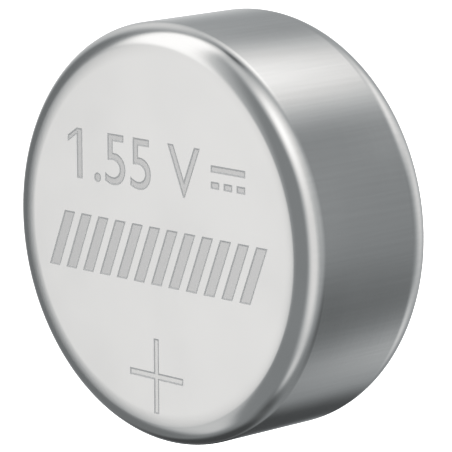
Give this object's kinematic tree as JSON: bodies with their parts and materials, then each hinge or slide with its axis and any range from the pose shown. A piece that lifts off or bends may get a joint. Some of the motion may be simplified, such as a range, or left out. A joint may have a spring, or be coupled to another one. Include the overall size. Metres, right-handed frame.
{
  "type": "silver oxide button cell",
  "caption": "Round coin-like metal battery: a steel can crimped over a nylon gasket and a stepped cap, with anode, separator and cathode inside.",
  "frame": {"origin": "centre of the negative cap's flat face, on which the cell stands", "axes": "+Z along the cell's axis, out of the positive can's flat face; +Y is the upright of the polarity mark"},
  "size_m": [0.0116, 0.0116, 0.0054],
  "materials": {
    "can_nickel": "satin",
    "cap_nickel": "satin",
    "gasket_nylon": "satin",
    "cathode_mix": "matte",
    "ring_nickel": "satin",
    "barrier_laminate": "satin",
    "absorber_felt": "matte",
    "anode_gel": "matte"
  },
  "bodies": {
    "root": {"positive_can": "can_nickel", "negative_cap": "cap_nickel", "sealing_gasket": "gasket_nylon", "cathode_pellet": "cathode_mix", "support_ring": "ring_nickel", "barrier_film": "barrier_laminate", "absorber_disc": "absorber_felt", "zinc_anode": "anode_gel"}
  },
  "joints": []
}
